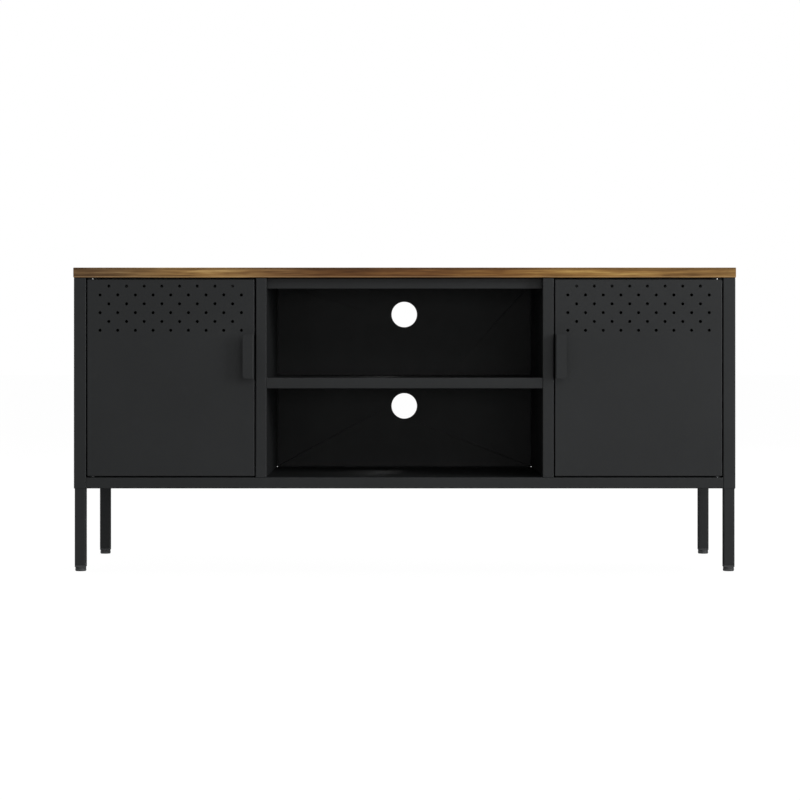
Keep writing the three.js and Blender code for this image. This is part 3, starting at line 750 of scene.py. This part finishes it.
def hinge_parts(side):
    for kind, collar_start in COLLAR_STARTS.items():
        node = kind + side
        low, high = (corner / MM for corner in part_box(node))
        middle = centre_of(node)
        collar = (low.z + collar_start, low.z + collar_start + PIN_COLLAR_HEIGHT)
        line = [
            (0, low.z),
            (PIN_RADIUS, low.z),
            (PIN_RADIUS, collar[0]),
            (PIN_COLLAR_RADIUS, collar[0]),
            (PIN_COLLAR_RADIUS, collar[1]),
            (PIN_RADIUS, collar[1]),
            (PIN_RADIUS, high.z),
            (0, high.z),
        ]
        obj = new_object(node + "_fine", turned(softened(line, 0.4), "Z", (middle.x, middle.y, 0), 40))
        finish_piece(obj, [node])
    node = "hinge_washer_" + side
    low, high = (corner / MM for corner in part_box(node))
    middle = centre_of(node)
    start = (PIN_HOLE_RADIUS, low.z + WASHER_STEP)
    line = [
        start,
        (PIN_HOLE_RADIUS, high.z),
        (WASHER_RADIUS, high.z),
        (WASHER_RADIUS, low.z),
        (PIN_HOLE_RADIUS, low.z),
        start,
    ]
    rings = []
    for r, z in softened(line, 0.3)[:-1]:
        ring = []
        for step in range(WASHER_SIDES):
            angle = 2 * math.pi * step / WASHER_SIDES
            x, y = middle.x + r * math.cos(angle), middle.y + r * math.sin(angle)
            ring.append(Vector((x, y, z)) * MM)
        rings.append(ring)
    finish_piece(new_object(node + "_fine", loft(rings, True)), [node])


def magnetic_catch(side):
    node = "magnetic_catch_" + side
    bm = cad_mesh(node)
    weigh_edges(bm, 0.6 * MM, 0.2 * MM, 0.3 * MM)
    obj = new_object(node + "_fine", bm)
    bevel_by_weight(obj, 0.6 * MM, 3)
    low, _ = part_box(node)
    obj.data.materials.append(NYLON)
    obj.data.materials.append(RUBBER)
    for face in obj.data.polygons:
        if face.center.y < low.y + KEEPER_DEPTH * MM:
            face.material_index = 1
    finish_piece(obj, [node])


for side in SIDES:
    hinge_parts(side)
    magnetic_catch(side)


# ---------------------------------------------------------------- shelf clips


def shelf_clip(node):
    low, high = (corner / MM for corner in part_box(node))
    middle = centre_of(node)
    inward = 1 if node.endswith(("inner_right", "outer_left")) else -1
    near = low.x if inward > 0 else high.x
    line = [(0, 0), (2.5, 0), (2.5, 6.3), (3.5, 6.3), (3.5, 6.9), (2.5, 6.9), (2.5, 15), (0, 15)]
    profile = [(r, near + inward * t) for r, t in softened(line, 0.4)]
    obj = new_object(node + "_fine", turned(profile, "X", (0, middle.y, middle.z), 32))
    finish_piece(obj, [node])


for side in SIDES:
    for row in ROWS:
        for where in ("inner", "outer"):
            shelf_clip(f"shelf_clip_{row}_{where}_{side}")


# ---------------------------------------------------------------- legs and feet

CORNER_STEPS = 6


def square_ring(half, corner, z, centre):
    """A square with round corners, as a ring of points in millimetres."""
    ring = []
    for quarter in range(4):
        sign = ((1, 1), (-1, 1), (-1, -1), (1, -1))[quarter]
        middle = (sign[0] * (half - corner), sign[1] * (half - corner))
        for step in range(CORNER_STEPS + 1):
            angle = math.pi / 2 * (quarter + step / CORNER_STEPS)
            x = middle[0] + corner * math.cos(angle)
            y = middle[1] + corner * math.sin(angle)
            ring.append(Vector((centre.x + x, centre.y + y, z)) * MM)
    return ring


def round_ring(radius, z, centre, like):
    """A circle with its points at the same angles as those of another ring."""
    ring = []
    for point in like:
        away = Vector((point.x / MM - centre.x, point.y / MM - centre.y)).normalized() * radius
        ring.append(Vector((centre.x + away.x, centre.y + away.y, z)) * MM)
    return ring


def leg(node):
    low, high = (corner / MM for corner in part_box(node))
    centre = centre_of(node)
    half, wall, cap, soft = (high.x - low.x) / 2, 1.2, 3.0, 0.3
    steps = [
        (half - wall, 1.0, high.z - cap),
        (half - wall, 1.0, low.z + 0.1),
        (half - wall + 0.1, 1.1, low.z),
        (half - soft, 2 - soft, low.z),
        (half - 0.09, 1.95, low.z + 0.09),
        (half, 2.0, low.z + soft),
        (half, 2.0, high.z - soft),
        (half - soft, 2 - soft, high.z),
    ]
    rings = [square_ring(size, corner, z, centre) for size, corner, z in steps]
    finish_piece(new_object(node + "_fine", loft(rings)), [node])


def foot_plug(node):
    low, high = (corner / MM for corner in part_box(node))
    centre = centre_of(node)
    half = (high.x - low.x) / 2
    rim_top = low.z + 2.8
    inside = half - 1.5
    bore = 4.3
    outer = [
        (half - 0.5, 1.5, low.z),
        (half - 0.15, 1.85, low.z + 0.2),
        (half, 2.0, low.z + 0.5),
        (half, 2.0, rim_top - 0.3),
        (half - 0.1, 1.9, rim_top - 0.08),
        (half - 0.3, 1.7, rim_top),
        (inside, 1.0, rim_top),
        (inside, 1.0, high.z - 1.5),
        (inside - 0.7, 1.0, high.z),
    ]
    rings = [square_ring(size, corner, z, centre) for size, corner, z in outer]
    rings.append(round_ring(bore, high.z, centre, rings[-1]))
    rings.append(round_ring(bore, low.z, centre, rings[-1]))
    finish_piece(new_object(node + "_fine", loft(rings, True)), [node])


def foot_pad(node):
    low, high = (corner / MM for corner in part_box(node))
    centre = centre_of(node)
    radius = (high.x - low.x) / 2
    socket, recess = 3.0, high.z - 1.6
    line = [
        (0, 0),
        (radius - 0.8, 0),
        (radius, 1.2),
        (radius, 4.7),
        (radius - 0.7, 5.0),
        (radius - 0.7, 5.5),
        (radius, 5.8),
        (radius, high.z),
        (7.2, high.z),
        (7.2, recess),
        (4.3, recess),
        (4.3, socket),
        (0, socket),
    ]
    profile = softened(line, 0.5, 4)
    obj = new_object(node + "_fine", turned(profile, "Z", (centre.x, centre.y, 0), 64))
    obj.data.materials.append(FOOT)
    obj.data.materials.append(SOLE_SHADE)
    # The pad's lowest 0.7 mm takes the near-black sole, which is painted shade for the contact shadow at the
    # floor.
    for face in obj.data.polygons:
        if face.center.z < 0.7 * MM:
            face.material_index = 1
    finish_piece(obj, [node])


def foot_stud(node):
    """An M8 stud with a rolled thread, and the hexagon that a spanner turns."""
    low, high = (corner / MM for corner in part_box(node))
    centre = centre_of(node)
    sides, pitch, depth = 24, 1.25, 0.62
    start, end = low.z + 4.6, high.z
    count = int((end - start) / (pitch / 6))
    rings = []
    neck = [(0.02, low.z), (3.0, low.z), (3.6, low.z + 0.5), (3.6, start - 0.2)]
    heights = [(radius, z, 0.0) for radius, z in neck]
    for step in range(count + 1):
        z = start + (end - start) * step / count
        fade = min(1.0, (z - start) / pitch, (end - z) / pitch + 0.15)
        heights.append((4.0, z, fade))
    heights.append((3.0, end, 0.0))
    for radius, z, thread in heights:
        ring = []
        for i in range(sides):
            turn = (z / pitch - i / sides) % 1.0
            crest = 1.0 - abs(2 * turn - 1)
            r = radius - depth * thread * min(1.0, crest * 1.25)
            if thread == 0 and radius == 4.0:
                r -= 0.3
            angle = 2 * math.pi * i / sides
            ring.append(Vector((centre.x + r * math.cos(angle), centre.y + r * math.sin(angle), z)) * MM)
        rings.append(ring)
    thread = loft(rings)
    collar_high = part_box(node.replace("stud", "pad"))[1].z / MM
    collar_low = collar_high - 1.3
    hexagon = []
    outline = (
        (6.1, collar_low),
        (6.5, collar_low + 0.2),
        (6.5, collar_high - 0.2),
        (6.1, collar_high),
    )
    for radius, z in outline:
        ring = []
        for i in range(36):
            angle = 2 * math.pi * i / 36
            flat = 0.5 * (1 + math.cos(math.pi / 6) / math.cos((angle % (math.pi / 3)) - math.pi / 6))
            r = radius * (2 * flat - 1)
            ring.append(Vector((centre.x + r * math.cos(angle), centre.y + r * math.sin(angle), z)) * MM)
        hexagon.append(ring)
    obj = new_object(node + "_fine", merge([thread, loft(hexagon)]))
    finish_piece(obj, [node], sharp=50)


def socket_head(centre, axis, under, out, radius, height, socket, sides=36):
    """A screw head along an axis, with a hexagon socket. out is +1 or -1 along the axis."""
    line = [
        (0.02, 0),
        (radius, 0),
        (radius, height * 0.55),
        (radius * 0.62, height),
        (socket * 1.12, height),
    ]
    dome = softened(line, 0.4)
    rings = []
    for r, h in dome[1:]:
        rings.append([(r, h, 2 * math.pi * i / sides) for i in range(sides)])
    for depth in (height, height * 0.35):
        ring = []
        for i in range(sides):
            angle = 2 * math.pi * i / sides
            r = socket * math.cos(math.pi / 6) / math.cos((angle % (math.pi / 3)) - math.pi / 6)
            ring.append((r, depth, angle))
        rings.append(ring)
    points = []
    for ring in rings:
        row = []
        for r, h, angle in ring:
            along = under + out * h
            u, v = r * math.cos(angle), r * math.sin(angle)
            point = {"X": (along, u, v), "Y": (v, along, u), "Z": (u, v, along)}[axis]
            row.append((Vector(point) + Vector(centre)) * MM)
        points.append(row)
    return loft(points)


def leg_bolt(node):
    low, high = (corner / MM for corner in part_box(node))
    centre = centre_of(node)
    under = high.z - 4.5
    line = [(0, low.z), (3.6, low.z), (4, low.z + 1), (4, under + 0.5), (0, under + 0.5)]
    shank = turned(softened(line, 0.3), "Z", (centre.x, centre.y, 0), 32)
    head = socket_head((centre.x, centre.y, 0), "Z", under, 1, 7.0, 4.5, 2.6)
    finish_piece(new_object(node + "_fine", merge([shank, head])), [node])


def top_screw(node):
    low, high = (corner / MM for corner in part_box(node))
    centre = centre_of(node)
    head_top = low.z + 2.4
    line = [(0, head_top - 0.5), (2, head_top - 0.5), (2, high.z - 2), (0.3, high.z)]
    shank = turned(softened(line, 0.3), "Z", (centre.x, centre.y, 0), 24)
    head = socket_head((centre.x, centre.y, 0), "Z", head_top, -1, 4.0, 2.4, 1.5)
    finish_piece(new_object(node + "_fine", merge([shank, head])), [node])


for side in SIDES:
    for row in ROWS:
        end = f"{row}_{side}"
        leg("leg_" + end)
        foot_plug("foot_plug_" + end)
        foot_pad("foot_pad_" + end)
        foot_stud("foot_stud_" + end)
        leg_bolt("leg_bolt_" + end)
        top_screw("top_screw_" + end)


# ---------------------------------------------------------------- screws that join the sheets


BACK_FLANGE_X = 588
BACK_FLANGE_HEIGHTS = (190, 350, 505)
TOP_FLANGE_X = (60, 215, 305, 440, 545)
TOP_FLANGE_HEIGHT = 525.5
SHELF_SCREW_X = 251.0
SHELF_SCREW_Y = (-130, 20, 150)
SHELF_SCREW_HEIGHT = 341


def panel_screws():
    """Low black screw heads: on the back along the flanges, and inside the cupboards at the shelf's ends."""
    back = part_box("side_panel_right")[1].y / MM
    heads = []
    for way in SIDES.values():
        for z in BACK_FLANGE_HEIGHTS:
            heads.append(((way * BACK_FLANGE_X, 0, z), "Y", back, 1))
        for x in TOP_FLANGE_X:
            heads.append(((way * x, 0, TOP_FLANGE_HEIGHT), "Y", back, 1))
        for y in SHELF_SCREW_Y:
            heads.append(((0, y, SHELF_SCREW_HEIGHT), "X", way * SHELF_SCREW_X, way))
    made = [socket_head(*head, 3.4, 0.9, 1.2, 24) for head in heads]
    obj = new_object("panel_screws", merge(made))
    finish_piece(obj, materials=(BLACK_SCREW,))


panel_screws()


# ---------------------------------------------------------------- floor, light and camera


WORLD_LIGHT = 0.57
WORLD_REFLECTION = 0.06
FLOOR_GLOW = 0.975


def studio_floor():
    bm = bmesh.new()
    reach, cells = 30.0, 6
    bmesh.ops.create_grid(bm, x_segments=cells, y_segments=cells, size=reach)
    for vert in bm.verts:
        vert.co.z = -0.0002
    obj = new_object("floor", bm)
    material, tree, shader = new_material("white_floor", Roughness=0.9, Specular_IOR_Level=0.1)
    place = object_coordinates(tree)
    shade = mixed(tree, noise(tree, place, 3, 2, 0.5), (0.028, 0.028, 0.028, 1), (0.032, 0.032, 0.032, 1))
    tree.links.new(shade, shader.inputs["Base Color"])
    shader.inputs["Emission Color"].default_value = (1, 1, 1, 1)
    shader.inputs["Emission Strength"].default_value = FLOOR_GLOW
    obj.data.materials.append(material)
    obj.visible_diffuse = False
    obj.visible_glossy = False


def studio_world():
    """White seen behind the object, and a soft light from all round that hardly shows in reflections."""
    world = bpy.data.worlds.new("studio")
    SCENE.world = world
    world.use_nodes = True
    tree = world.node_tree
    tree.nodes.clear()
    path = add_node(tree, "LightPath")
    lighting = add_node(tree, "Background", {"Color": (1, 1, 1, 1), "Strength": WORLD_LIGHT})
    for ray, strength in (("Is Glossy Ray", WORLD_REFLECTION), ("Is Camera Ray", 1.0)):
        other = add_node(tree, "Background", {"Color": (1, 1, 1, 1), "Strength": strength})
        choice = add_node(tree, "MixShader", {0: path.outputs[ray]})
        tree.links.new(lighting.outputs[0], choice.inputs[1])
        tree.links.new(other.outputs[0], choice.inputs[2])
        lighting = choice
    output = add_node(tree, "OutputWorld")
    tree.links.new(lighting.outputs[0], output.inputs["Surface"])


def area_light(name, place, target, size, power):
    data = bpy.data.lights.new(name, "AREA")
    data.shape = "RECTANGLE"
    data.size, data.size_y = size
    data.energy = power
    obj = bpy.data.objects.new(name, data)
    obj.location = place
    obj.rotation_euler = (Vector(target) - Vector(place)).to_track_quat("-Z", "Y").to_euler()
    SCENE.collection.objects.link(obj)


def studio_camera():
    data = bpy.data.cameras.new("camera")
    data.sensor_width = 36.0
    data.lens = 110.86
    data.shift_y = -0.0675
    data.clip_end = 200.0
    obj = bpy.data.objects.new("camera", data)
    obj.location = (-0.0084, -4.649, 0.408)
    obj.rotation_euler = (math.pi / 2, 0, 0)
    SCENE.collection.objects.link(obj)
    SCENE.camera = obj


studio_floor()
studio_world()
area_light("key", (1.3, -3.2, 2.1), (0.0, -0.19, 0.36), (1.8, 1.4), 15)
area_light("front", (0.2, -5.3, 0.5), (0.0, 0.0, 0.36), (3.6, 0.7), 12.8)
area_light("side", (3.6, -2.3, 1.1), (0.0, -0.19, 0.36), (1.4, 1.8), 68)
area_light("overhead", (0.0, 0.2, 3.2), (0, 0, 0.5), (2.6, 1.6), 60)
area_light("rear", (1.6, 4.2, 2.6), (0, 0.2, 0.35), (2.2, 1.6), 60)
area_light("rear_left", (-4.2, 1.6, 1.8), (0, 0, 0.35), (1.8, 1.8), 40)
studio_camera()
SCENE.view_settings.view_transform = "Standard"
